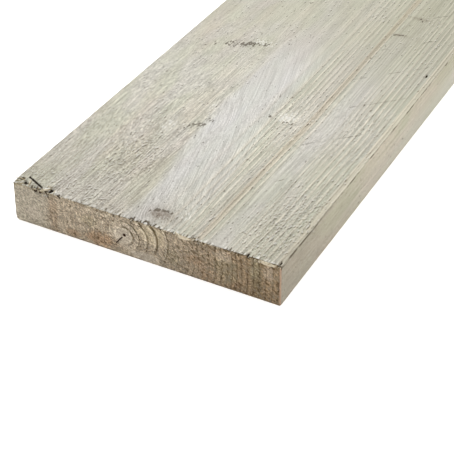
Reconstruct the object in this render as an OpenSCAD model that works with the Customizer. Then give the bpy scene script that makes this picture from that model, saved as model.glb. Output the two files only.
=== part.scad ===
// Rough-sawn softwood plank: one piece of stock, lying flat on its underside.
// X runs across the width, Y along the grain and Z through the thickness.
// The origin is at the centre of the underside.

/* [Board] */
// Length between the two crosscut ends
board_l = 2000; // [400:50:5000]
// Width across the face
board_w = 195; // [60:1:300]
// Thickness, from the underside to the top face
board_t = 30; // [12:1:60]

/* [Long arrises] */
// Radius of the top left arris, left by the saw
top_left_r = 0.8; // [0.3:0.1:5]
// Radius of the top right arris, left by the saw
top_right_r = 0.8; // [0.3:0.1:5]
// Radius of the bottom right arris, a little rubbed
bottom_right_r = 1.2; // [0.3:0.1:5]
// Radius of the bottom left arris, worn round by handling
bottom_left_r = 2.2; // [0.3:0.1:5]

/* [Hidden] */
$fn = 96;
sawn_colour = [0.76, 0.73, 0.66];
side_x = board_w / 2;

// Flat part of the section: an outline that runs straight from each arris's start to its end.
module flat_section() {
    polygon([
        [-side_x + bottom_left_r, 0],
        [side_x - bottom_right_r, 0],
        [side_x, bottom_right_r],
        [side_x, board_t - top_right_r],
        [side_x - top_right_r, board_t],
        [-side_x + top_left_r, board_t],
        [-side_x, board_t - top_left_r],
        [-side_x, bottom_left_r],
    ]);
}

// One arris's round, touching the two faces that meet there.
// side is -1 for left and 1 for right; face_z is the height of the face that it rounds.
module arris_round(side, face_z, r) {
    centre_z = face_z > 0 ? face_z - r : r;
    translate([side * (side_x - r), centre_z]) circle(r);
}

// Sawn section, square but for its eased arrises.
module section() {
    flat_section();
    arris_round(-1, board_t, top_left_r);
    arris_round(1, board_t, top_right_r);
    arris_round(1, 0, bottom_right_r);
    arris_round(-1, 0, bottom_left_r);
}

// The whole plank, its section run along the grain between the two crosscut ends.
module plank() {
    color(sawn_colour)
        translate([0, board_l / 2, 0])
            rotate([90, 0, 0])
                linear_extrude(board_l)
                    section();
}

plank();
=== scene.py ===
import math
import random

import bmesh
import bpy
import numpy as np
from mathutils import Matrix, Vector, noise


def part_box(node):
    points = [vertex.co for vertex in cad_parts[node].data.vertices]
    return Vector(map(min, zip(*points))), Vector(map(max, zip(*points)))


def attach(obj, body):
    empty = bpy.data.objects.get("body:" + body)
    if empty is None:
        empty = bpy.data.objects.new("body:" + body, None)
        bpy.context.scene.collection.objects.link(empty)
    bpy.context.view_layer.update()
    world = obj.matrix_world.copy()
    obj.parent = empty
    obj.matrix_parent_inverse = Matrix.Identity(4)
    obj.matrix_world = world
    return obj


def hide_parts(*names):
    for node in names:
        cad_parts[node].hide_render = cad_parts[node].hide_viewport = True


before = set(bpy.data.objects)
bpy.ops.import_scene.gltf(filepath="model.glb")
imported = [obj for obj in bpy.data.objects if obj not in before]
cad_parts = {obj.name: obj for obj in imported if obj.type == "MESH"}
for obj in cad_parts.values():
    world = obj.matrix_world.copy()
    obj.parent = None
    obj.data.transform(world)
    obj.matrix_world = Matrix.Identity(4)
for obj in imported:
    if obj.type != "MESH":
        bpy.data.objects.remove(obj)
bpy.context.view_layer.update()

mm = 0.001

# The plank lies along Y. Places on it are in mm: x across from its centre line,
# s along from the near end, z up from the underside.
lowCorner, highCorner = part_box("plank")
plank = {
    "halfWidth": (highCorner[0] - lowCorner[0]) / 2 / mm,
    "length": (highCorner[1] - lowCorner[1]) / mm,
    "thickness": (highCorner[2] - lowCorner[2]) / mm,
    "nearY": lowCorner[1],
}
print("plank", {name: round(value, 3) for name, value in plank.items()})


# ---- the tree that the board was cut from ----

heart = {"x": -13, "z": 15, "driftX": 2, "driftZ": -1, "driftOver": 60, "sway": 2, "swayOver": 800}
rings = {"first": (7.5, 3.8, 6.9, 5.9, 7.3), "width": 3.85, "wobble": 0.3, "leftShrink": 0.3}
leanYears = {"from": 12.4, "to": 16.2, "show": 0.15}  # rings that hardly stand out
hardYear = {"ring": 11.1, "wide": 0.95, "show": 0.3}  # one ring that shows as a brown line
# Each branch: where it comes out of the board (x, s and z), its radius, how brown it is,
# how torn, how torn its rim is, and which side of the rim, in degrees.
limbs = [
    ((6, 13, 30), 4.8, 0.75, 0.2, 1.05, 118),
    ((-34, 122, 30), 12.0, 0.0, 0.0, 0.9, -18),
    ((-44, 235, 30), 6.2, 0.1, 1.05, 0.2, 200),
    ((24, 152, 30), 6.5, -0.1, 0.0, 0.52, 258),
    ((49, 299, 30), 1.2, 0.5, 1.3, 0.6, 180),
    ((54, 331, 30), 2.0, 0.3, 0.4, 0.0, 0),
]
whorls = {"at": (560, 905, 1270, 1610, 1880), "branches": 5, "spread": 16, "radius": (3, 8)}


def heartAt(s):  # x and z of the pith at s
    settled = 1 - np.exp(-s / heart["driftOver"])
    swing = np.sin(s * math.tau / heart["swayOver"])
    x = heart["x"] + heart["driftX"] * settled + heart["sway"] * swing
    z = heart["z"] + heart["driftZ"] * settled - 0.5 * heart["sway"] * swing
    return x, z


def comesOut(s, turn):  # where a branch that points along turn leaves the board
    x, z = heartAt(s)
    across, up = math.cos(turn), math.sin(turn)
    sideRun = (math.copysign(plank["halfWidth"], across) - x) / across
    faceRun = ((plank["thickness"] if up > 0 else 0) - z) / up
    run = min(sideRun, faceRun)
    return (x + across * run, s, z + up * run)


def growWhorls():  # further up the tree the branches stand in whorls, a year apart
    dice = random.Random(11)
    for s in whorls["at"]:
        first = dice.uniform(0, math.tau)
        for branch in range(whorls["branches"]):
            turn = first + (branch + dice.uniform(-0.3, 0.3)) * math.tau / whorls["branches"] + 0.01
            place = comesOut(s + dice.uniform(-1, 1) * whorls["spread"], turn)
            radius, brown = dice.uniform(*whorls["radius"]), dice.uniform(0.3, 1)
            torn, rim, rimTurn = dice.uniform(0, 0.5), dice.uniform(0, 1), dice.uniform(0, 360)
            limbs.append((place, radius, brown, torn, rim, rimTurn))


growWhorls()
print("limbs", len(limbs))


def ripple(a, b, c):  # smooth noise from -1 to 1 at each place
    return np.array([noise.noise(place) for place in zip(a.tolist(), b.tolist(), c.tolist())])


# At each place: how far it is from the pith, pushed aside round the branches, its growth
# ring, where it is on its nearest branch, in radii, and how brown, torn and torn at the
# rim that branch is there.
def grainField(x, s, z):
    fromHeart = np.stack((x, z)) - heartAt(s)
    spot = np.stack((np.full_like(x, 9), np.full_like(x, 9), np.zeros_like(x)))
    look = np.zeros_like(spot)
    nearest = np.full_like(x, 9)
    for (outX, outS, outZ), outRadius, brown, torn, rim, rimTurn in limbs:
        startX, startZ = heartAt(outS)
        run = math.hypot(outX - startX, outZ - startZ)
        across, up = (outX - startX) / run, (outZ - startZ) / run
        alongLimb = (x - startX) * across + (z - startZ) * up
        beside = (x - startX) * up - (z - startZ) * across
        alongGrain = s - outS
        radius = outRadius * np.clip(0.3 + 0.7 * alongLimb / run, 0.3, 1.2)
        away = np.hypot(beside, alongGrain) / radius
        away[alongLimb < 0] = 9
        push = 0.75 * beside * np.exp(-(beside / radius / 2.4) ** 2 - (alongGrain / radius / 3.4) ** 2)
        push[alongLimb < 0] = 0
        fromHeart -= np.stack((push * up, -push * across))
        closer = away < nearest
        nearest[closer] = away[closer]
        spot[0][closer] = (beside / radius)[closer]
        spot[1][closer] = (alongGrain / radius)[closer]
        facing = np.cos(np.arctan2(alongGrain, beside * up) - math.radians(rimTurn))
        look[0][closer] = brown
        look[1][closer] = torn
        look[2][closer] = (rim * np.clip(facing * 2.2 - 0.4, 0, 1))[closer]
    radius = np.hypot(*fromHeart)
    radius *= 1 + rings["leftShrink"] * np.clip(-fromHeart[0] / 70, 0, 1)
    ends = np.cumsum((0,) + rings["first"])
    ring = np.interp(radius, ends, range(len(ends))) + np.maximum(radius - ends[-1], 0) / rings["width"]
    settled = np.clip(radius / 40, 0, 1)
    ring += rings["wobble"] * settled * ripple(fromHeart[0] / 26, s / 500, fromHeart[1] / 26)
    ring += 0.45 * settled * ripple(radius / 11, np.full_like(radius, 3.3), np.full_like(radius, 7.1))
    return fromHeart, ring, spot, look


def ringShow(fromHeart, ring, s):  # how far each ring stands out, from 0 to 1
    lean = np.clip((ring - leanYears["from"]) / 0.8, 0, 1) * np.clip((leanYears["to"] - ring) / 0.8, 0, 1)
    show = 1 - (1 - leanYears["show"]) * lean
    show *= 0.75 + 0.5 * ripple(ring / 2.3, s / 300, fromHeart[1] / 40)
    show *= np.clip((fromHeart[0] - 5) / 30, 0.3, 1)
    return np.clip(show * np.clip((ring - 2.6) / 1.5, 0, 1), 0, 1)


# ---- the plank's mesh ----

cells = {"arris": 0.45, "finestAlong": 1.0, "widestAlong": 40, "seenLength": 430}


def alongStep(s):  # finest at the ends and round the branches
    outAt = (place[1] for place, *_ in limbs)
    gap = min(abs(s - at) + (0 if at < cells["seenLength"] else 14) for at in outAt)
    fromEnd = min(s, (plank["length"] - s) * 1.8)
    widest = 6 if s < cells["seenLength"] else cells["widestAlong"]
    return min(cells["finestAlong"] + 0.11 * max(fromEnd, 0), 2.4 + 0.13 * max(gap - 6, 0), widest)


def acrossStep(x):  # finer on the right, where the ridges stand
    fromArris = plank["halfWidth"] - abs(x)
    return min(cells["arris"] + 0.35 * max(fromArris, 0), 0.82 if x > 20 else 1.2)


def upStep(z):
    fromArris = min(z, plank["thickness"] - z)
    return min(cells["arris"] + 0.35 * max(fromArris, 0), 1.25)


def stations(low, high, step):  # places from low to high, as far apart as step asks
    places = [low]
    while places[-1] < high:
        places.append(places[-1] + step(places[-1]))
    stretch = (high - low) / (places[-1] - low)
    return np.array([low + (place - low) * stretch for place in places])


def edgesAlong(bm, axis):
    found = []
    for edge in bm.edges:
        run = edge.verts[1].co - edge.verts[0].co
        if abs(run[axis]) > 0.9 * run.length:
            found.append(edge)
    return found


def thinGrid(bm, stops):  # fewer cells underneath and on the edges, inside of the arrises
    inner = np.flatnonzero(np.abs(stops[0]) < plank["halfWidth"] - 6)
    low, high = inner[0], inner[-1]
    last = [len(stop) - 1 for stop in stops]
    spare = []
    for edge in bm.edges:
        first, second = (
            [round((vert.co[axis] + 0.5) * last[axis]) for axis in range(3)] for vert in edge.verts
        )
        alongY = first[1] != second[1]
        if first[2] == second[2] == 0:
            inside = low <= first[0] <= high and low <= second[0] <= high
            betweenLines = low < first[0] < high and first[0] % 4 if alongY else first[1] % 4
            if inside and betweenLines and (alongY or first[1] < last[1]):
                spare.append(edge)
        elif alongY and first[0] == second[0] and first[0] in (0, last[0]):
            if first[2] % 2 and 6 < stops[2][first[2]] < plank["thickness"] - 6:
                spare.append(edge)
    bmesh.ops.dissolve_edges(bm, edges=spare, use_verts=True)


sheet = {  # where each face of the plank lies on its flat map, from left to right
    "topNear": (0.0, 0.47),
    "topFar": (0.475, 0.67),
    "rightNear": (0.675, 0.75),
    "rightFar": (0.755, 0.785),
    "leftNear": (0.79, 0.865),
    "leftFar": (0.87, 0.9),
    "under": (0.905, 1.0),
    "nearEnd": (0.0, 0.6),
    "farEnd": (0.61, 1.0),
}


def layFlat(bm, stops):  # the near part of the plank gets the finest share of its map
    width, length, thickness = 2 * plank["halfWidth"], plank["length"], plank["thickness"]
    divide = min(stops[1], key=lambda s: abs(s - cells["seenLength"]))
    layer = bm.loops.layers.uv.new("OFBake")
    for face in bm.faces:
        x, s, z = face.calc_center_median()
        onEnd = min(s, length - s) < 1e-4
        onSide = not onEnd and min(z, thickness - z) >= 1e-4
        half = "Near" if s < divide else "Far"
        start, run = (0, divide) if s < divide else (divide, length - divide)
        if onEnd:
            name = "nearEnd" if s < 1 else "farEnd"
        elif onSide:
            name = ("left" if x < 0 else "right") + half
        elif z < 1:
            name, start, run = "under", 0, length
        else:
            name = "top" + half
        left, right = sheet[name]
        low, high = (0.91, 1.0) if onEnd else (0.0, 0.9)
        for loop in face.loops:
            place = loop.vert.co
            across = place.z / thickness if onSide else place.x / width + 0.5
            up = place.z / thickness if onEnd else (place.y - start) / run
            loop[layer].uv = (left + across * (right - left), low + up * (high - low))


# A cube cut into a fine grid, whose cuts are then moved to their stations.
def gridPlank():
    stops = [
        stations(-plank["halfWidth"], plank["halfWidth"], acrossStep),
        stations(0, plank["length"], alongStep),
        stations(0, plank["thickness"], upStep),
    ]
    bm = bmesh.new()
    bmesh.ops.create_cube(bm, size=1)
    for axis in (2, 0, 1):
        cuts = len(stops[axis]) - 2
        bmesh.ops.subdivide_edges(bm, edges=edgesAlong(bm, axis), cuts=cuts, use_grid_fill=True)
    thinGrid(bm, stops)
    for vert in bm.verts:
        for axis in range(3):
            count = len(stops[axis]) - 1
            vert.co[axis] = stops[axis][round((vert.co[axis] + 0.5) * count)]
    layFlat(bm, stops)
    triangles = sum(len(face.verts) - 2 for face in bm.faces)
    print("grid", [len(stop) for stop in stops], triangles, "triangles")
    return bm


arrises = [  # side, face height and radius of each long arris, as the CAD plank has them
    (-1, plank["thickness"], 0.8),
    (1, plank["thickness"], 0.8),
    (1, 0, 1.2),
    (-1, 0, 2.2),
]


def roundArrises(places):  # bends the grid's square corners onto each arris's round
    x, s, z = places.T
    for side, faceZ, radius in arrises:
        upward = 1 if faceZ > 0 else -1
        out = (x * side - (plank["halfWidth"] - radius)) / radius
        up = ((z - faceZ) * upward + radius) / radius
        inCorner = (out > 0) & (up > 0)
        bentOut = out * np.sqrt(1 - up**2 / 2, where=inCorner, out=np.ones_like(out))
        bentUp = up * np.sqrt(1 - out**2 / 2, where=inCorner, out=np.ones_like(up))
        x[inCorner] = side * (plank["halfWidth"] - radius + bentOut[inCorner] * radius)
        z[inCorner] = faceZ + upward * (bentUp[inCorner] * radius - radius)


def lateWood(ring):  # 0 in the soft early wood, rising to 1 in the hard late wood
    part = ring % 1
    rise = np.clip((part - 0.35) / 0.45, 0, 1)
    fall = np.clip((1 - part) / 0.1, 0, 1)
    return rise * rise * (3 - 2 * rise) * fall


relief = {  # how deep or high each mark on the surface is
    "ridge": 0.28,
    "fibre": 0.05,
    "saw": 0.06,
    "branch": 0.2,
    "pit": 0.7,
    "shake": 0.8,
    "split": 1.1,
    "tear": 1.5,
    "gouge": 1.5,
    "wornCorner": 1.1,
    "proudCorner": 0.8,
}
sawPitch = 17  # from one stroke of the saw to the next
upperPart, nearPart = 20, 20  # the top face's marks are above one, the near end's are before the other
heartShake = {"From": (-19.6, 0, 7.2), "To": (-14.9, 0, 13.0), "Wide": 0.5}
cornerSplit = {"From": (-90, 10, 0), "To": (-76.8, 4.0, 0), "Wide": 1.05}
gouges = [  # where the saws tore a piece out: centre and size
    ((-79.2, 1.2, 29.5), (2.2, 1.9, 3)),
    ((-75.8, 1.2, 29.5), (1.6, 1.5, 3)),
    ((-68.8, 3.2, 29.5), (1.5, 2.6, 3)),
    ((-71.0, 0.4, 29.0), (2.6, 1.2, 2)),
    ((-88.6, 3.6, 29.5), (1.7, 1.4, 3)),
    ((-93.4, 5.9, 29.5), (1.9, 1.1, 3)),
    ((-61.5, 0.5, 29.5), (1.2, 1.3, 2)),
    ((-6.8, 0.6, 29.5), (0.7, 2.0, 2)),
    ((37.6, 0.4, 29.5), (1.0, 1.7, 2.5)),
    ((40.4, 0.5, 29.5), (1.1, 1.7, 2.5)),
    ((74.5, 1.4, 29.9), (0.5, 2.0, 1.2)),
    ((95.6, 2.6, 29.9), (0.5, 2.6, 1.2)),
    ((91, 250, 29.8), (0.8, 2.2, 2)),
]
cleanFibre = [  # pale wood where a torn fibre has just come away: centre and size
    ((30, 0, 28.4), (5.5, 2, 1.5)),
    ((88, 0.2, 29.0), (6.5, 1.8, 1.6)),
    ((-72, 3.2, 29.6), (2.2, 1.6, 3)),
    ((-66, 2.6, 29.6), (1.4, 2.4, 3)),
    ((3.2, 0.8, 29.6), (1.2, 1.2, 2)),
]


def nearSplit(places, split, keep):  # distance from a crack's line, over the face that it is in
    start, run = np.array(split["From"], float), np.subtract(split["To"], split["From"])
    part = np.clip((places * keep - start) @ run / (run @ run), 0, 1)
    return np.linalg.norm(places * keep - start - part[:, None] * run, axis=1)


def sinkSurface(places, normals, fromHeart, ring, spot, show):  # how far each place lies below the box
    x, s, z = places.T
    onEnd = np.abs(normals[:, 1]) > 0.6
    onEdge = np.abs(normals[:, 0]) > 0.6
    depth = relief["ridge"] * np.clip(show + 0.1, 0, 1) * (1 - lateWood(ring)) * np.where(onEdge, 0.2, 1)
    depth += relief["fibre"] * (0.5 + 0.5 * ripple(x / 1.7, s / 14, z / 1.7))
    depth += relief["saw"] * (0.5 + 0.5 * np.sin((s - x) * math.tau / sawPitch))
    branch = np.hypot(spot[0], spot[1])
    depth -= relief["branch"] * np.exp(-((branch / 1.3) ** 2))
    pits = ripple(x / 1.4, s, z / 2.3) + 0.6 * ripple(x / 0.8, s, z / 1.2)
    smooth = np.clip((-x - 70) / 10, 0, 1)
    endDepth = relief["pit"] * np.clip(0.35 + 0.7 * pits, 0, 1) * (1 - 0.7 * smooth)
    inShake = np.exp(-((nearSplit(places, heartShake, (1, 0, 1)) / 0.9) ** 2))
    endDepth += relief["shake"] * inShake * (s < nearPart)
    inSplit = np.exp(-((nearSplit(places, cornerSplit, (1, 1, 0)) / 0.9) ** 2))
    depth += relief["split"] * inSplit * (z > upperPart)
    depth = np.where(onEnd, endDepth, depth)
    depth[normals[:, 2] < -0.6] = 0.1
    return np.clip(depth, 0, 1.6)


def tearArris(places):  # how far the crosscut broke fibres out of each end's top arris
    x, s, z = places.T
    fromEnd = np.minimum(s, plank["length"] - s)
    nick = ripple(x / 1.3, s * 0, np.full_like(x, 5.5)) + 0.7 * ripple(x / 6, s * 0 + 1, s * 0)
    nick = np.clip(nick * 1.5 - 0.1, 0, 1) * 0.6 * np.clip((80 - x) / 30, 0.15, 1)
    return nick * np.clip(1 - fromEnd / 2.6, 0, 1) * np.clip(1 - (plank["thickness"] - z) / 2.6, 0, 1)


def gougeArris(places):  # how far into one of the gouges each place is
    most = np.zeros(len(places))
    for centre, size in gouges:
        away = np.linalg.norm((places - centre) / size, axis=1)
        most = np.maximum(most, np.clip(1.4 - away, 0, 1))
    return most


def addAttribute(mesh, name, values):
    isVector = np.ndim(values) > 1
    layer = mesh.attributes.new(name, "FLOAT_VECTOR" if isVector else "FLOAT", "POINT")
    layer.data.foreach_set("vector" if isVector else "value", np.ravel(values).astype(np.float32))


def makeObject(name, bm):
    mesh = bpy.data.meshes.new(name)
    bm.to_mesh(mesh)
    bm.free()
    made = bpy.data.objects.new(name, mesh)
    bpy.context.collection.objects.link(made)
    return made


def makePlank():
    made = makeObject("sawnPlank", gridPlank())
    mesh = made.data
    flat = np.empty(len(mesh.vertices) * 3, dtype=np.float32)
    mesh.vertices.foreach_get("co", flat)
    places = flat.reshape(-1, 3).astype(float)
    roundArrises(places)
    mesh.vertices.foreach_set("co", places.ravel())
    mesh.update()
    mesh.vertices.foreach_get("normal", flat)
    normals = flat.reshape(-1, 3).copy()
    x, s, z = places.T
    fromHeart, ring, spot, look = grainField(x, s, z)
    show = ringShow(fromHeart, ring, s)
    torn = tearArris(places)
    addAttribute(mesh, "grain", np.stack((fromHeart[0], s, fromHeart[1]), axis=1))
    addAttribute(mesh, "ring", ring)
    addAttribute(mesh, "ringShow", show)
    addAttribute(mesh, "spot", spot.T)
    addAttribute(mesh, "spotLook", look.T)
    gouged = gougeArris(places)
    places -= normals * sinkSurface(places, normals, fromHeart, ring, spot, show)[:, None]
    z -= relief["tear"] * torn + relief["gouge"] * gouged * (z > upperPart)
    s += 0.7 * relief["gouge"] * gouged * (s < nearPart)
    proud = np.clip((x - 50) / 30, 0, 1) * np.clip(1 - s / 40, 0, 1)
    z += relief["proudCorner"] * proud * (z > 22)
    wearAndShade = np.clip(1 - s / 9, 0, 1) * np.clip((z - 6) / 24, 0, 1)
    x += relief["wornCorner"] * wearAndShade * np.clip((-x - 94) / 3, 0, 1)
    places *= mm
    s += plank["nearY"]
    mesh.vertices.foreach_set("co", places.ravel())
    mesh.polygons.foreach_set("use_smooth", [True] * len(mesh.polygons))
    mesh.update()
    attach(made, "root")
    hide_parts("plank")
    return made


# ---- fibres torn loose along the near end's top arris ----

fringe = {"count": 190, "long": (0.8, 2.6), "thick": (0.12, 0.26), "seed": 5}
splinters = [  # each: the places that it runs through, and how thick it starts
    (((-90.5, 5.4, 29.8), (-94.5, 5.6, 30.25), (-97, 4.6, 30.3), (-99.8, 3.0, 30.25)), 0.5),
    (((-92, 3.4, 29.8), (-95.5, 2.6, 30.25), (-98.4, 1.0, 30.3)), 0.4),
    (((-89.5, 1.6, 29.6), (-92.5, 0.6, 30.2), (-95.0, -1.2, 29.8)), 0.45),
    (((-87, 6.4, 29.8), (-85.8, 3.6, 30.3), (-85.0, 1.0, 30.25), (-85.2, -0.8, 29.9)), 0.6),
    (((-91, 2.4, 29.6), (-90.4, 0.6, 30.3), (-90.6, -1.2, 29.6)), 0.5),
    (((-77.6, 2.4, 29.4), (-77.4, 0.6, 30.1), (-77.3, -0.8, 29.9)), 0.45),
    (((-75, 0.4, 29.5), (-72.6, 1.6, 30.2), (-70.4, 3.0, 30.3), (-68.6, 5.2, 30.2)), 0.8),
    (((-73.6, 6.0, 29.8), (-71.4, 6.2, 30.25), (-69.2, 6.0, 30.1)), 0.4),
    (((-66.6, 4.2, 29.7), (-66.0, 1.6, 30.25), (-65.8, -0.8, 30.1)), 0.5),
    (((-55, 1.0, 29.8), (-54.5, -0.5, 30.25), (-53.2, -1.4, 30.3)), 0.35),
    (((24, 1.4, 29.7), (28, -0.5, 30.3), (33.5, -0.7, 30.2), (36.6, 0.8, 29.8)), 0.4),
    (((80, 1.5, 29.7), (84, 0, 30.3), (91.5, -0.5, 30.2), (96.5, 0.8, 29.8)), 0.4),
]


def addSliver(bm, through, thick):  # a tapering fibre, its ring extruded from place to place
    points = [Vector(point) for point in through]
    heading = (points[1] - points[0]).to_track_quat("Z", "X").to_matrix().to_4x4()
    start = bmesh.ops.create_circle(bm, cap_ends=True, segments=5, radius=thick)
    bmesh.ops.transform(bm, matrix=Matrix.Translation(points[0]) @ heading, verts=start["verts"])
    faces = list({face for vert in start["verts"] for face in vert.link_faces})
    for index in range(1, len(points)):
        grown = bmesh.ops.extrude_face_region(bm, geom=faces)["geom"]
        verts = [part for part in grown if isinstance(part, bmesh.types.BMVert)]
        faces = [part for part in grown if isinstance(part, bmesh.types.BMFace)]
        bmesh.ops.translate(bm, verts=verts, vec=points[index] - points[index - 1])
        narrower = 0.75 if index < len(points) - 1 else 0.15
        middle = Matrix.Translation(-points[index])
        bmesh.ops.scale(bm, vec=(narrower,) * 3, space=middle, verts=verts)


def makeSplinters():
    dice = random.Random(fringe["seed"])
    bm = bmesh.new()
    for through, thick in splinters:
        addSliver(bm, through, thick)
    for index in range(fringe["count"]):
        x = dice.uniform(-1, 1) * (plank["halfWidth"] - 0.6)
        reach, lean = dice.uniform(*fringe["long"]), dice.uniform(-0.5, 0.5)
        foot = (x, dice.uniform(0.4, 0.9), plank["thickness"] - 0.5)
        bend = (x + lean * reach * 0.5, -0.3 * reach, plank["thickness"] - dice.uniform(0, 0.5))
        tip = (x + lean * reach, -0.3 - 0.5 * reach, plank["thickness"] + dice.uniform(-0.9, 0.4))
        addSliver(bm, (foot, bend, tip), dice.uniform(*fringe["thick"]))
    bmesh.ops.scale(bm, vec=(mm,) * 3, verts=bm.verts)
    bmesh.ops.translate(bm, vec=(0, plank["nearY"], 0), verts=bm.verts)
    bmesh.ops.recalc_face_normals(bm, faces=bm.faces)
    made = makeObject("tornFibres", bm)
    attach(made, "root")
    return made


# ---- helpers for shader nodes ----

def paint(red, green, blue):  # a colour as seen, made linear
    return tuple(((part / 255 + 0.055) / 1.055) ** 2.4 for part in (red, green, blue)) + (1,)


def addNode(tree, kind, inputs=None, **settings):
    made = tree.nodes.new("ShaderNode" + kind)
    made.location = (220 * (len(tree.nodes) % 12), -260 * (len(tree.nodes) // 12))
    for name, value in settings.items():
        setattr(made, name, value)
    for name, value in (inputs or {}).items():
        if isinstance(value, bpy.types.NodeSocket):
            tree.links.new(value, made.inputs[name])
        else:
            made.inputs[name].default_value = value
    return made


def maths(tree, operation, *values, clamp=False):
    inputs = dict(enumerate(values))
    return addNode(tree, "Math", inputs, operation=operation, use_clamp=clamp).outputs[0]


def times(tree, first, *others):
    for other in others:
        first = maths(tree, "MULTIPLY", first, other)
    return first


def plus(tree, first, second):
    return maths(tree, "ADD", first, second)


def minus(tree, first, second):
    return maths(tree, "SUBTRACT", first, second)


def greater(tree, first, second):
    return maths(tree, "MAXIMUM", first, second)


def apart(tree, first, second):
    return maths(tree, "ABSOLUTE", minus(tree, first, second))


def scaled(tree, value, factor, offset):  # value times factor, plus offset
    return maths(tree, "MULTIPLY_ADD", value, factor, offset)


def joined(tree, x, y, z):
    return addNode(tree, "CombineXYZ", {0: x, 1: y, 2: z}).outputs[0]


def axes(tree, vector):
    return addNode(tree, "SeparateXYZ", {0: vector}).outputs


def vectors(tree, operation, first, second):
    return addNode(tree, "VectorMath", {0: first, 1: second}, operation=operation).outputs[0]


def between(tree, value, low, high, toLow=0.0, toHigh=1.0):
    inputs = {"Value": value, "From Min": low, "From Max": high, "To Min": toLow, "To Max": toHigh}
    return addNode(tree, "MapRange", inputs, interpolation_type="SMOOTHSTEP").outputs[0]


def mixed(tree, amount, first, second):
    return addNode(tree, "Mix", {0: amount, 6: first, 7: second}, data_type="RGBA").outputs[2]


def shaded(tree, colour, value, reach, strength):  # lighter or darker by how far value is from a half
    factor = scaled(tree, between(tree, value, 0.5 - reach, 0.5 + reach, -1, 1), strength, 1.0)
    return addNode(tree, "VectorMath", {0: colour, "Scale": factor}, operation="SCALE").outputs[0]


def speckle(tree, vector, across, along, up, detail=2.0, rough=0.5):  # noise, with its grains per mm
    vector = vectors(tree, "MULTIPLY", vector, (across, along, up))
    inputs = {"Vector": vector, "Scale": 1.0, "Detail": detail, "Roughness": rough}
    return addNode(tree, "TexNoise", inputs).outputs[0]


effects = {}
nowhere = (0.0, 0.0, 0.0)


def newGroup(name, takes, gives):
    tree = bpy.data.node_groups.new(name, "ShaderNodeTree")
    for label, value in takes.items():
        kind = "Vector" if isinstance(value, tuple) else "Float"
        socket = tree.interface.new_socket(label, in_out="INPUT", socket_type="NodeSocket" + kind)
        socket.default_value = value
    for label in gives:
        tree.interface.new_socket(label, in_out="OUTPUT", socket_type="NodeSocketFloat")
    effects[name] = tree
    return tree, tree.nodes.new("NodeGroupInput").outputs, tree.nodes.new("NodeGroupOutput").inputs


def give(out, **results):
    for label, result in results.items():
        result.id_data.links.new(result, out[label])


def useGroup(tree, name, **inputs):
    return addNode(tree, "Group", inputs, node_tree=effects[name]).outputs


# ---- shared effects ----

def buildRingBands():  # the late wood of each ring, and the thin line where its winter ends it
    tree, given, out = newGroup("ringBands", {"Ring": 0.0}, ["Late", "Line"])
    part = maths(tree, "FRACT", given["Ring"])
    late = times(tree, between(tree, part, 0.35, 0.8), between(tree, part, 1.0, 0.9))
    line = times(tree, between(tree, part, 0.82, 0.93), between(tree, part, 1.0, 0.95))
    give(out, Late=late, Line=line)


fibreMarks = ["Streak", "Lines", "Hair", "Hatch", "Fuzz", "Tick", "Tuft"]


def buildSawnFibre():  # along the grain: streaks, lines, hatching, fuzz, and torn ticks dark and light
    tree, given, out = newGroup("sawnFibre", {"Grain": nowhere}, fibreMarks)
    grain = given["Grain"]
    give(out, Streak=speckle(tree, grain, 0.22, 0.006, 0.22))
    for label, across, along, wide in (("Lines", 0.42, 0.004, 0.09), ("Hair", 0.75, 0.009, 0.08)):
        level = speckle(tree, grain, across, along, across, detail=1.5)
        give(out, **{label: between(tree, apart(tree, level, 0.5), wide, 0.0)})
    give(out, Hatch=speckle(tree, grain, 1.15, 0.045, 1.15, detail=1.5))
    give(out, Fuzz=speckle(tree, grain, 1.3, 0.7, 1.3, detail=0))
    give(out, Tick=speckle(tree, grain, 1.0, 0.34, 1.0, detail=1))
    moved = vectors(tree, "ADD", grain, (0.8, -1.2, 0.0))
    give(out, Tuft=speckle(tree, moved, 1.0, 0.34, 1.0, detail=1))


def buildBranchFace():  # the sawn face of a branch: its body, its rings, and what the saw tore
    takes = {"Spot": (9.0, 9.0, 0.0), "Look": nowhere, "Place": nowhere}
    tree, given, out = newGroup("branchFace", takes, ["Body", "Shade", "Tear", "Halo", "Brown"])
    u, v = axes(tree, given["Spot"])[:2]
    brown, torn, rim = axes(tree, given["Look"])
    uneven = speckle(tree, given["Place"], 0.3, 0.3, 0.3, detail=3)
    u = plus(tree, u, scaled(tree, uneven, 1.0, -0.5))
    v = plus(tree, v, scaled(tree, uneven, -0.9, 0.45))
    away = maths(tree, "SQRT", plus(tree, times(tree, u, u), times(tree, v, v)))
    give(out, Body=between(tree, away, 1.5, 0.3), Halo=between(tree, away, 3.2, 0.9), Brown=brown)
    wave = maths(tree, "SINE", scaled(tree, away, 11, times(tree, uneven, 6)))
    give(out, Shade=scaled(tree, wave, 0.5, 0.5))
    stroke = speckle(tree, given["Place"], 0.62, 0.2, 0.62, detail=1.5)
    stroke = scaled(tree, stroke, 3.4, -1.8)
    leaning = minus(tree, v, times(tree, u, torn, 0.95))
    squash = plus(tree, times(tree, u, u, 0.42), times(tree, leaning, leaning, 1.3))
    middle = times(tree, between(tree, maths(tree, "SQRT", squash), 1.5, 0.0), torn, 1.1)
    offRim = apart(tree, away, 1.0)
    onRim = times(tree, between(tree, offRim, 0.45, 0.0), rim, 1.15)
    field = plus(tree, stroke, greater(tree, middle, onRim))
    give(out, Tear=between(tree, field, 0.7, 0.84))


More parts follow.
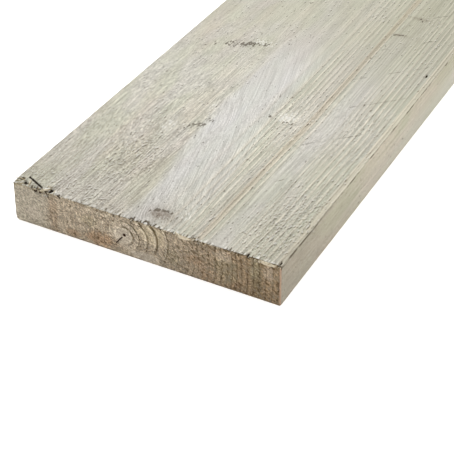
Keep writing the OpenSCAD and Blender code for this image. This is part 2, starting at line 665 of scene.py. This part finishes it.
def buildWeather():  # broad tints from rain, sun and preservative
    takes = {"Place": nowhere, "Seed": 0.0}
    tree, given, out = newGroup("weather", takes, ["Warm", "Green", "Pale"])
    tints = (("Warm", 0.05, 0.014), ("Green", 0.07, 0.012), ("Pale", 0.06, 0.02))
    for index, (label, across, along) in enumerate(tints):
        shift = plus(tree, given["Seed"], 5.7 * index)
        nudge = joined(tree, shift, shift, shift)
        place = vectors(tree, "MULTIPLY", given["Place"], (across, along, across))
        place = vectors(tree, "ADD", place, nudge)
        patchy = speckle(tree, place, 1, 1, 1, detail=1.5)
        give(out, **{label: between(tree, patchy, 0.37, 0.63)})


def buildSawScratch():  # a tooth set too far out scores the face once in each turn of the saw
    takes = {"Place": nowhere, "Pitch": 50.0, "Lean": 1.0}
    tree, given, out = newGroup("sawScratch", takes, ["Scratch"])
    x, s = axes(tree, given["Place"])[:2]
    wander = scaled(tree, speckle(tree, given["Place"], 0.06, 0.06, 0.06, detail=3), 5, -2.5)
    travel = minus(tree, s, times(tree, x, given["Lean"]))
    turns = maths(tree, "DIVIDE", plus(tree, travel, wander), given["Pitch"])
    off = apart(tree, maths(tree, "FRACT", turns), 0.5)
    line = between(tree, times(tree, off, given["Pitch"]), 0.6, 0.1)
    broken = between(tree, speckle(tree, given["Place"], 0.06, 0.03, 0.06, detail=4, rough=0.7), 0.5, 0.6)
    give(out, Scratch=times(tree, line, broken))


def buildSplit():  # a crack from one place to another
    takes = {"Place": nowhere, "From": nowhere, "To": (1.0, 0.0, 0.0), "Wide": 0.5}
    tree, given, out = newGroup("split", takes, ["Crack"])
    jag = speckle(tree, given["Place"], 0.8, 0.8, 0.8)
    shift = scaled(tree, jag, 0.9, -0.45)
    place = vectors(tree, "ADD", given["Place"], joined(tree, shift, 0.0, shift))
    run = vectors(tree, "SUBTRACT", given["To"], given["From"])
    gone = vectors(tree, "SUBTRACT", place, given["From"])
    along = addNode(tree, "VectorMath", {0: gone, 1: run}, operation="DOT_PRODUCT").outputs["Value"]
    whole = addNode(tree, "VectorMath", {0: run, 1: run}, operation="DOT_PRODUCT").outputs["Value"]
    part = maths(tree, "DIVIDE", along, whole, clamp=True)
    spread = joined(tree, part, part, part)
    off = vectors(tree, "SUBTRACT", gone, vectors(tree, "MULTIPLY", run, spread))
    away = addNode(tree, "VectorMath", {0: off}, operation="LENGTH").outputs["Value"]
    give(out, Crack=between(tree, away, given["Wide"], times(tree, given["Wide"], 0.35)))


def buildPatch():  # a soft-edged patch round one place
    takes = {"Place": nowhere, "Centre": nowhere, "Size": (10.0, 10.0, 10.0), "Ragged": 0.12, "Core": 0.4}
    tree, given, out = newGroup("patch", takes, ["Mask"])
    gone = vectors(tree, "SUBTRACT", given["Place"], given["Centre"])
    gone = vectors(tree, "DIVIDE", gone, given["Size"])
    away = addNode(tree, "VectorMath", {0: gone}, operation="LENGTH").outputs["Value"]
    ragged = {"Vector": given["Place"], "Scale": given["Ragged"], "Detail": 4.0}
    uneven = scaled(tree, addNode(tree, "TexNoise", ragged).outputs[0], 1.0, -0.5)
    give(out, Mask=between(tree, plus(tree, away, uneven), 1.0, given["Core"]))


buildRingBands()
buildSawnFibre()
buildBranchFace()
buildWeather()
buildSawScratch()
buildSplit()
buildPatch()
print("effects", list(effects))


def newMaterial(name):
    made = bpy.data.materials.new(name)
    made.use_nodes = True
    return made, made.node_tree


def readAttribute(tree, name):
    node = addNode(tree, "Attribute", attribute_name=name)
    return node.outputs["Vector" if name in ("grain", "spot", "spotLook") else "Fac"]


def placeInMm(tree):  # the plank's x, s and z, in mm
    raw = addNode(tree, "TexCoord").outputs["Object"]
    fromEnd = vectors(tree, "SUBTRACT", raw, (0.0, plank["nearY"], 0.0))
    return vectors(tree, "MULTIPLY", fromEnd, (1 / mm,) * 3)


def finishShader(tree, colour, height, look):
    shader = tree.nodes["Principled BSDF"]
    tree.links.new(colour, shader.inputs["Base Color"])
    bump = {"Strength": look["bumpShow"], "Distance": look["bump"], "Height": height}
    tree.links.new(addNode(tree, "Bump", bump).outputs[0], shader.inputs["Normal"])
    shader.inputs["Roughness"].default_value = look["roughness"]
    shader.inputs["Specular IOR Level"].default_value = look["gloss"]


faceWood = {
    "base": paint(191, 188, 173),
    "warm": paint(195, 185, 171),
    "cool": paint(207, 206, 205),
    "right": paint(171, 170, 154),
    "far": paint(166, 164, 144),
    "green": paint(184, 187, 169),
    "mauve": paint(196, 190, 187),
    "late": paint(207, 201, 184),
    "early": paint(183, 183, 166),
    "year": paint(170, 146, 116),
    "dark": paint(112, 102, 86),
    "light": paint(228, 226, 219),
    "bead": paint(200, 192, 172),
    "tick": paint(86, 76, 60),
    "knot": paint(112, 97, 84),
    "torn": paint(68, 56, 40),
    "crackShade": paint(36, 26, 14),
    "scratch": paint(104, 99, 89),
    "stripes": 0.9,
    "life": 1.0,
    "ticks": 1.0,
    "fringeShadow": 0.9,
    "scratches": 1.0,
    "scratchLean": 1.0,
    "endShade": 0.24,
    "farShade": 0.9,
    "beadShow": 0.6,
    "onEdge": False,
    "arrisShadow": 0.6,
    "floorBounceLight": 0.0,
    "seed": 0.0,
    "roughness": 0.85,
    "gloss": 0.15,
    "bump": 0.0002,
    "bumpShow": 1.0,
}
roughPatches = [  # where the saw tore the face most: centre and size
    ((-44, 58, 30), (26, 50, 12)),
    ((-60, 10, 30), (60, 22, 12)),
    ((80, 40, 30), (30, 60, 12)),
]
tufted = [  # where the saw left the grain beside a branch fluffy: centre and size
    ((23, 20, 30), (8, 9, 12)),
    ((-42, 106, 30), (7, 9, 12)),
    ((27, 152, 30), (9, 9, 12)),
    ((-36, 241, 30), (14, 7, 12)),
]
arrisRun = ((1, 2, 30), (14, 8, 12))  # where the near arris is torn in even steps
bandLean = 0.27  # how far the fibres beside the heart run across, per mm along


def patchMask(tree, place, patches, ragged=0.7, core=0.75):  # ragged patches, all in one
    most = None
    for centre, size in patches:
        patch = useGroup(tree, "patch", Place=place, Centre=centre, Size=size, Ragged=ragged, Core=core)
        most = patch["Mask"] if most is None else greater(tree, most, patch["Mask"])
    return most


def makeFaceMaterial(name, look):
    made, tree = newMaterial(name)
    grain, ring, show = (readAttribute(tree, label) for label in ("grain", "ring", "ringShow"))
    place = placeInMm(tree)
    x, s, z = axes(tree, place)
    flat = joined(tree, x, s, 0.0)
    fromHeart = axes(tree, grain)[0]
    weather = useGroup(tree, "weather", Place=place, Seed=look["seed"])
    bands = useGroup(tree, "ringBands", Ring=ring)
    spot, spotLook = readAttribute(tree, "spot"), readAttribute(tree, "spotLook")
    knot = useGroup(tree, "branchFace", Spot=spot, Look=spotLook, Place=place)
    scratch = useGroup(tree, "sawScratch", Place=place, Lean=look["scratchLean"])["Scratch"]
    scratch = times(tree, scratch, between(tree, x, 28, 46, 0.12, 1.0))

    wide = scaled(tree, speckle(tree, place, 0.12, 0.016, 0.12, detail=4), 14, -7)
    overBand = plus(tree, plus(tree, x, wide), between(tree, s, 0, 190, -9, 3))
    band = between(tree, maths(tree, "ABSOLUTE", overBand), 25, 16)
    besideBand = apart(tree, plus(tree, x, wide), 58)
    band = greater(tree, band, times(tree, between(tree, besideBand, 17, 5), 0.4))
    band = times(tree, band, between(tree, s, -40, 140, 0.55, 1), between(tree, s, 170, 310, 1, 0.12))
    leaned = vectors(tree, "ADD", grain, joined(tree, times(tree, s, bandLean), 0.0, 0.0))
    plain, slanted = useGroup(tree, "sawnFibre", Grain=grain), useGroup(tree, "sawnFibre", Grain=leaned)
    fibre = {}
    turned = between(tree, band, 0.35, 0.65)
    for label in fibreMarks:
        mix = addNode(tree, "Mix", {0: turned, 2: plain[label], 3: slanted[label]}, data_type="FLOAT")
        fibre[label] = mix.outputs[0]

    torn = patchMask(tree, place, roughPatches, 0.12, 0.4)
    rough = greater(tree, times(tree, weather["Pale"], 0.35), torn)
    calm = times(tree, band, 0.7)
    cut = maths(tree, "MINIMUM", s, minus(tree, plank["length"], s))

    colour = mixed(tree, times(tree, weather["Warm"], 0.7), look["base"], look["warm"])
    colour = mixed(tree, between(tree, x, 25, 92, 0, 0.85), colour, look["right"])
    colour = mixed(tree, times(tree, band, 0.92), colour, look["cool"])
    colour = mixed(tree, times(tree, weather["Green"], 0.36), colour, look["green"])
    colour = mixed(tree, times(tree, weather["Pale"], 0.45), colour, look["mauve"])
    distant = times(tree, between(tree, x, -70, 90, 0.3, 0.95), between(tree, cut, 160, 350))
    colour = mixed(tree, times(tree, distant, look["farShade"]), colour, look["far"])
    shown = times(tree, show, between(tree, s, 150, 330, 1, 0.6), look["stripes"])
    soft = minus(tree, 1, bands["Late"])
    colour = mixed(tree, times(tree, shown, soft, 0.7), colour, look["early"])
    colour = mixed(tree, times(tree, shown, bands["Late"]), colour, look["late"])
    offYear = apart(tree, ring, hardYear["ring"])
    brownLine = between(tree, offYear, hardYear["wide"], 0.3, 0, hardYear["show"])
    brownLine = times(tree, brownLine, maths(tree, "GREATER_THAN", fromHeart, 0), look["stripes"])
    colour = mixed(tree, brownLine, colour, look["year"])
    bead = times(tree, between(tree, x, 92.6, 94.2), look["beadShow"])
    colour = mixed(tree, bead, colour, look["bead"])
    colour = mixed(tree, times(tree, shown, bands["Line"], 0.4), colour, look["dark"])
    offBand = minus(tree, 1, times(tree, band, 0.45))
    lively = times(tree, between(tree, cut, 90, 300, 1.0, 0.35), offBand)
    lively = times(tree, lively, minus(tree, 1, times(tree, bead, 0.8)), look["life"])
    rightward = between(tree, fromHeart, 20, 57)
    lines = times(tree, fibre["Lines"], scaled(tree, rightward, 0.12, 0.1), look["life"])
    hairs = times(tree, fibre["Hair"], lively, scaled(tree, rightward, -0.14, 0.3))
    colour = mixed(tree, greater(tree, lines, hairs), colour, look["tick"])
    colour = shaded(tree, colour, fibre["Streak"], 0.25, 0.05 * look["life"])
    hatching = scaled(tree, rightward, -0.08, 0.17)
    colour = shaded(tree, colour, fibre["Hatch"], 0.14, times(tree, lively, hatching))
    fuzz = scaled(tree, rough, 0.08, scaled(tree, rightward, -0.06, 0.125))
    colour = shaded(tree, colour, fibre["Fuzz"], 0.09, times(tree, lively, fuzz))
    stained = greater(tree, knot["Brown"], 0.0)
    colour = mixed(tree, times(tree, knot["Halo"], stained, 0.26), colour, look["knot"])
    body = times(tree, knot["Body"], stained)
    body = times(tree, body, scaled(tree, knot["Shade"], -0.45, 1.0))
    colour = mixed(tree, body, colour, look["knot"])
    palest = times(tree, knot["Body"], greater(tree, times(tree, knot["Brown"], -1.0), 0.0))
    colour = mixed(tree, palest, colour, look["light"])
    # the dark ticks are partly torn-fibre tone and partly painted shade in the torn grain; the pale tufts
    # are partly pale fibre and partly painted highlight
    bar = scaled(tree, rough, -0.09, 0.70)
    bar = scaled(tree, times(tree, shown, bands["Line"]), -0.1, bar)
    bar = scaled(tree, calm, 0.05, bar)
    tick = times(tree, between(tree, fibre["Tick"], bar, plus(tree, bar, 0.06)), look["ticks"])
    colour = mixed(tree, times(tree, tick, 0.75), colour, look["tick"])
    tuftBar = scaled(tree, patchMask(tree, place, tufted, 0.1, 0.3), -0.18, bar)
    tuftBar = scaled(tree, knot["Halo"], -0.03, tuftBar)
    tuft = between(tree, fibre["Tuft"], tuftBar, plus(tree, tuftBar, 0.07))
    colour = mixed(tree, times(tree, tuft, 0.55, look["ticks"]), colour, look["light"])
    colour = mixed(tree, times(tree, scratch, look["scratches"]), colour, look["scratch"])
    colour = mixed(tree, times(tree, knot["Tear"], 0.72), colour, look["torn"])

    # painted shadow: dark notches along the near end's top arris stand for the shade under the torn
    # fringe; the white flecks are pale torn fibres
    if look["fringeShadow"]:
        even = patchMask(tree, place, [arrisRun], 0.12, 0.4)
        edgeTick = speckle(tree, place, 0.6, 0.12, 0.5, detail=1.5)
        edgeTick = scaled(tree, even, 0.12, edgeTick)
        fringeShadow = between(tree, plus(tree, edgeTick, between(tree, cut, 4.5, 0.0, 0, 0.12)), 0.68, 0.73)
        fringeShadow = times(tree, fringeShadow, between(tree, cut, 4.5, 3.2), look["fringeShadow"])
        colour = mixed(tree, fringeShadow, colour, look["torn"])
        white = between(tree, minus(tree, between(tree, cut, 6.0, 0.0, 0, 0.16), edgeTick), -0.34, -0.26)
        white = times(tree, white, between(tree, cut, 6, 1), 0.8)
        colour = mixed(tree, white, colour, look["light"])
    crest = between(tree, apart(tree, s, 160), 115, 15, 0, 0.04)
    crest = times(tree, crest, between(tree, x, 30, -30), look["life"])
    colour = mixed(tree, crest, colour, look["light"])
    offMiddle = apart(tree, x, 42)
    shade = times(tree, between(tree, offMiddle, 15, 80, 0.5, 1.1), look["endShade"])
    colour = mixed(tree, times(tree, between(tree, cut, 150, -20), shade), colour, look["dark"])
    # painted light: the low part of each side is lightened towards the pale colour, standing in for light
    # thrown up from the floor
    low = times(tree, between(tree, z, 24, 2), between(tree, cut, 60, 460, 0.05, 1), look["floorBounceLight"])
    colour = mixed(tree, low, colour, look["light"])
    colour = mixed(tree, times(tree, patchMask(tree, place, cleanFibre), 0.8), colour, look["light"])
    # painted shade: the corner split and the gouges are filled with near-black, standing in for the
    # shadow in these hollows
    split = useGroup(tree, "split", Place=flat, **cornerSplit)["Crack"]
    onTop = maths(tree, "GREATER_THAN", z, upperPart)
    holeShade = greater(tree, times(tree, split, onTop), patchMask(tree, place, gouges))
    colour = mixed(tree, holeShade, colour, look["crackShade"])
    # painted shadow: a broken dark line along the arris stands for the shade in the arris's torn edge
    onArris = between(tree, z, 28.0, 28.9) if look["onEdge"] else between(tree, x, -96.0, -97.2)
    wearAndShade = speckle(tree, place, 0.3, 0.07, 0.3, detail=3, rough=0.6)
    wearAndShade = plus(tree, wearAndShade, between(tree, cut, 140, 0, 0, 0.08))
    wearAndShade = times(tree, between(tree, wearAndShade, 0.5, 0.6), onArris, look["arrisShadow"])
    colour = mixed(tree, wearAndShade, colour, look["tick"])

    height = times(tree, fibre["Fuzz"], -0.6)
    ridge = times(tree, show, bands["Late"])
    marks = [(fibre["Hatch"], -0.5), (fibre["Lines"], -0.35), (ridge, 0.6), (tick, -1.2)]
    for mark, rise in marks + [(scratch, -0.7), (knot["Tear"], -1.5), (holeShade, -3.0)]:
        height = scaled(tree, mark, rise, height)
    finishShader(tree, colour, height, look)
    return made


endWood = {
    "left": paint(160, 151, 134),
    "middle": paint(180, 165, 143),
    "right": paint(151, 129, 101),
    "orange": paint(162, 133, 104),
    "olive": paint(149, 138, 110),
    "grey": paint(166, 155, 139),
    "pale": paint(216, 204, 180),
    "rose": paint(192, 160, 138),
    "late": paint(124, 108, 82),
    "groove": paint(88, 74, 48),
    "pit": paint(54, 40, 24),
    "crackShade": paint(44, 25, 12),
    "sawTurn": -0.61,
    "roughness": 0.9,
    "gloss": 0.12,
    "bump": 0.0008,
    "bumpShow": 1.0,
}
pithHole = [((-12.8, 0, 15.7), (1.3, 3, 1.1))]
endStains = [  # each stain on the near end: centre, size, colour, strength, and how smooth it is
    ((-30, 0, 6), (16, 6, 8), "orange", 0.8, 0),
    ((-52, 0, 4), (8, 6, 4), "orange", 0.6, 0),
    ((-67, 0, 15), (5, 6, 20), "orange", 0.35, 0),
    ((38, 0, 14), (9, 6, 6), "orange", 0.5, 0),
    ((46, 0, 5), (6, 6, 8), "orange", 0.45, 0),
    ((67, 0, 5), (5, 6, 4), "orange", 0.5, 0),
    ((-40, 0, 18), (10, 6, 6), "olive", 0.5, 0),
    ((22, 0, 10), (7, 6, 8), "olive", 0.5, 0),
    ((8, 0, 22), (14, 6, 9), "olive", 0.45, 0.75),
    ((60, 0, 14), (12, 6, 12), "olive", 0.5, 0),
    ((80, 0, 20), (5, 6, 14), "olive", 0.8, 0),
    ((-95, 0, 29.5), (5, 6, 2.5), "olive", 0.8, 0),
    ((82, 0, 10), (4, 6, 12), "late", 0.7, 0),
    ((2, 0, 3.5), (14, 6, 5), "grey", 1.0, 0.9),
    ((-13, 0, 15), (12, 6, 12), "grey", 0.9, 0.81),
    ((-83, 0, 10), (7, 6, 9), "grey", 0.7, 0.63),
    ((58, 0, 24), (8, 6, 6), "grey", 0.45, 0.405),
    ((89, 0, 22), (5, 6, 8), "grey", 0.45, 0.405),
]


def makeEndMaterial(name, look):
    made, tree = newMaterial(name)
    ring = readAttribute(tree, "ring")
    place = placeInMm(tree)
    x, s, z = axes(tree, place)
    flat = joined(tree, x, 0.0, z)
    bands = useGroup(tree, "ringBands", Ring=ring)
    colour = mixed(tree, between(tree, x, -80, -60), look["left"], look["middle"])
    colour = mixed(tree, between(tree, x, -5, 85), colour, look["right"])
    smooth = between(tree, x, -70, -76, 0, 0.35)
    for centre, size, stain, strength, smoothness in endStains:
        patch = patchMask(tree, place, [(centre, size)], 0.12, 0.4)
        colour = mixed(tree, times(tree, patch, strength), colour, look[stain])
        if smoothness:
            smooth = greater(tree, smooth, times(tree, patch, smoothness))
    inner = times(tree, between(tree, ring, 6.2, 4.5), between(tree, z, 4, 17, 0.15, 1))
    outer = between(tree, ring, 4.5, 6.2, 0, 0.22)
    uneven = between(tree, speckle(tree, place, 0.2, 1.0, 0.2), 0.35, 0.55, 0.55, 1)
    part = maths(tree, "FRACT", ring)
    rightOfHeart = between(tree, x, -18, -12)
    groove = times(tree, between(tree, part, 0.72, 0.88), between(tree, part, 1.0, 0.96))
    crest = times(tree, between(tree, part, 0.5, 0.66), between(tree, part, 0.82, 0.74), rightOfHeart)
    rim = times(tree, between(tree, part, 0.78, 0.9), between(tree, part, 1.0, 0.94))
    rim = times(tree, rim, minus(tree, 1, rightOfHeart), 1.6)
    arcs = greater(tree, inner, outer)
    groove = times(tree, groove, arcs, uneven, rightOfHeart)
    palest = times(tree, greater(tree, crest, rim), arcs, uneven, 0.45)
    colour = mixed(tree, palest, colour, look["pale"])
    colour = mixed(tree, times(tree, groove, 0.9), colour, look["groove"])
    turned = {"Vector": place, "Angle": look["sawTurn"]}
    sawn = addNode(tree, "VectorRotate", turned, rotation_type="Y_AXIS").outputs[0]
    coarse = speckle(tree, sawn, 0.24, 1.0, 0.68, detail=2, rough=0.6)
    fine = speckle(tree, sawn, 0.34, 1.0, 1.25, detail=1)
    grit = speckle(tree, place, 1.7, 1.0, 1.5, detail=0)
    crisp = minus(tree, 1, smooth)
    # the speckle shading and the dark pits are partly the end grain's own tone and partly painted shade
    # of its torn relief
    colour = shaded(tree, colour, coarse, 0.18, times(tree, crisp, 0.26))
    colour = shaded(tree, colour, fine, 0.1, scaled(tree, crisp, 0.4, 0.12))
    colour = shaded(tree, colour, grit, 0.13, 0.24)
    deep = plus(tree, times(tree, coarse, 0.4), times(tree, fine, 0.6))
    column = times(tree, between(tree, x, 15, 60), minus(tree, bands["Late"], 0.4), 0.05)
    ringward = plus(tree, column, deep)
    bar = scaled(tree, smooth, 0.14, between(tree, x, -60, 40, 0.546, 0.531))
    pit = between(tree, ringward, bar, plus(tree, bar, 0.02))
    colour = mixed(tree, times(tree, pit, 0.84), colour, look["pit"])
    lightBar = scaled(tree, smooth, -0.1, 0.445)
    crumb = between(tree, deep, lightBar, minus(tree, lightBar, 0.03))
    colour = mixed(tree, times(tree, crumb, 0.16), colour, look["pale"])
    colour = mixed(tree, between(tree, x, 95.6, 97.0, 0, 0.7), colour, look["rose"])
    toTop = minus(tree, plank["thickness"], z)
    # painted shadow: dark ticks hanging from the top arris and a darker band just below it stand for the
    # shade under the torn fringe
    frayShadow = scaled(tree, speckle(tree, place, 0.62, 1.0, 0.14), 10.0, -4.4)
    frayShadow = between(tree, minus(tree, frayShadow, toTop), -0.4, 0.3)
    colour = mixed(tree, times(tree, frayShadow, 0.85), colour, look["pit"])
    colour = mixed(tree, between(tree, toTop, 3.0, 0.6, 0, 0.25), colour, look["late"])
    colour = mixed(tree, times(tree, patchMask(tree, place, cleanFibre), 0.75), colour, look["pale"])
    # painted shade: the heart shake, the pith hole and the gouges are filled with near-black, standing in
    # for the shadow in these hollows
    split = useGroup(tree, "split", Place=flat, **heartShake)["Crack"]
    nearEnd = maths(tree, "LESS_THAN", s, nearPart)
    crackShade = greater(tree, times(tree, split, nearEnd), patchMask(tree, place, pithHole + gouges))
    colour = mixed(tree, crackShade, colour, look["crackShade"])

    height = scaled(tree, smooth, 1.6, -2.2)
    height = scaled(tree, deep, height, times(tree, crackShade, -2.0))
    height = scaled(tree, groove, -0.8, height)
    finishShader(tree, colour, height, look)
    return made


edgeWood = dict(
    faceWood,
    base=paint(185, 179, 160),
    warm=paint(192, 164, 148),
    right=paint(186, 180, 162),
    green=paint(168, 172, 142),
    mauve=paint(198, 184, 170),
    stripes=0.1,
    life=0.75,
    ticks=0.7,
    fringeShadow=0.0,
    scratches=0.3,
    scratchLean=0.5,
    endShade=0.52,
    farShade=0.0,
    beadShow=0.0,
    onEdge=True,
    arrisShadow=0.8,
    floorBounceLight=0.55,
    seed=9.0,
)


def finishPlank(made):
    for name, look in (("sawnFace", faceWood), ("sawnEdge", edgeWood)):
        made.data.materials.append(makeFaceMaterial(name, look))
    made.data.materials.append(makeEndMaterial("sawnEnd", endWood))
    for face in made.data.polygons:
        if abs(face.normal.y) > 0.7:
            face.material_index = 2
        elif abs(face.normal.x) > 0.7:
            face.material_index = 1


fibreWood = {
    "pale": paint(216, 206, 182),
    "grey": paint(150, 134, 104),
    "olive": paint(120, 108, 66),
    "roughness": 0.8,
    "gloss": 0.5,
    "bump": 0.0001,
    "bumpShow": 0.6,
}


def finishSplinters(made, look):
    material, tree = newMaterial("tornFibre")
    place = placeInMm(tree)
    fleck = speckle(tree, place, 0.9, 0.3, 0.9, detail=3)
    colour = mixed(tree, between(tree, fleck, 0.4, 0.62), look["pale"], look["grey"])
    # painted shade: the splinters at the near-left corner are darkened towards olive where shadow falls
    # among them
    atCorner = between(tree, axes(tree, place)[0], -86, -93)
    olive = times(tree, atCorner, between(tree, fleck, 0.62, 0.4), 0.8)
    colour = mixed(tree, olive, colour, look["olive"])
    finishShader(tree, colour, fleck, look)
    made.data.materials.append(material)


board = makePlank()
finishPlank(board)
print("plank made", len(board.data.polygons), "faces")
splinterPiece = makeSplinters()
finishSplinters(splinterPiece, fibreWood)
print("splinters made", len(splinterPiece.data.polygons), "faces")


# ---- floor, light and camera ----

studio = {"floor": 30, "floorShade": 0.93, "glow": 0.6, "sky": 0.72}
sunlight = {"strength": 2.4, "size": 28, "turn": 235, "height": 46}


def makeFloor():
    bm = bmesh.new()
    bmesh.ops.create_grid(bm, x_segments=8, y_segments=8, size=studio["floor"])
    bmesh.ops.translate(bm, verts=bm.verts, vec=(0, 0, lowCorner[2] - 0.0002))
    made = makeObject("floor", bm)
    material, tree = newMaterial("paleFloor")
    shader = tree.nodes["Principled BSDF"]
    shader.inputs["Base Color"].default_value = (studio["floorShade"],) * 3 + (1,)
    shader.inputs["Roughness"].default_value = 0.9
    shader.inputs["Emission Color"].default_value = (1, 1, 1, 1)
    shader.inputs["Emission Strength"].default_value = studio["glow"]
    made.data.materials.append(material)


def lookingFrom(turn, height):  # the direction to something at this turn and height, in degrees
    turn, height = math.radians(turn), math.radians(height)
    level = math.cos(height)
    return Vector((math.sin(turn) * level, -math.cos(turn) * level, math.sin(height)))


def makeLight():
    sun = bpy.data.lights.new("softKey", "SUN")
    sun.energy = sunlight["strength"]
    sun.angle = math.radians(sunlight["size"])
    lamp = bpy.data.objects.new("softKey", sun)
    toSun = lookingFrom(sunlight["turn"], sunlight["height"])
    lamp.rotation_euler = toSun.to_track_quat("Z", "Y").to_euler()
    bpy.context.collection.objects.link(lamp)
    world = bpy.data.worlds.new("studio")
    world.use_nodes = True
    background = world.node_tree.nodes["Background"]
    background.inputs["Color"].default_value = (1, 1, 1, 1)
    background.inputs["Strength"].default_value = studio["sky"]
    bpy.context.scene.world = world
    bpy.context.scene.view_settings.view_transform = "Standard"


view = {"turn": 28.82, "height": 36.47, "roll": -0.83, "lens": 102.3, "away": 0.793, "aim": (49.8, 20.5)}


def makeCamera():
    lens = bpy.data.cameras.new("camera")
    lens.lens = view["lens"]
    lens.sensor_width = 36
    made = bpy.data.objects.new("camera", lens)
    aim = Vector((view["aim"][0] * mm, plank["nearY"] + view["aim"][1] * mm, highCorner[2]))
    back = lookingFrom(view["turn"], view["height"])
    tilt = Matrix.Rotation(math.radians(view["roll"]), 4, back)
    facing = back.to_track_quat("Z", "Y").to_matrix().to_4x4()
    made.matrix_world = Matrix.Translation(aim + back * view["away"]) @ tilt @ facing
    bpy.context.collection.objects.link(made)
    bpy.context.scene.camera = made


makeFloor()
makeLight()
makeCamera()
print("floor, light and camera set")
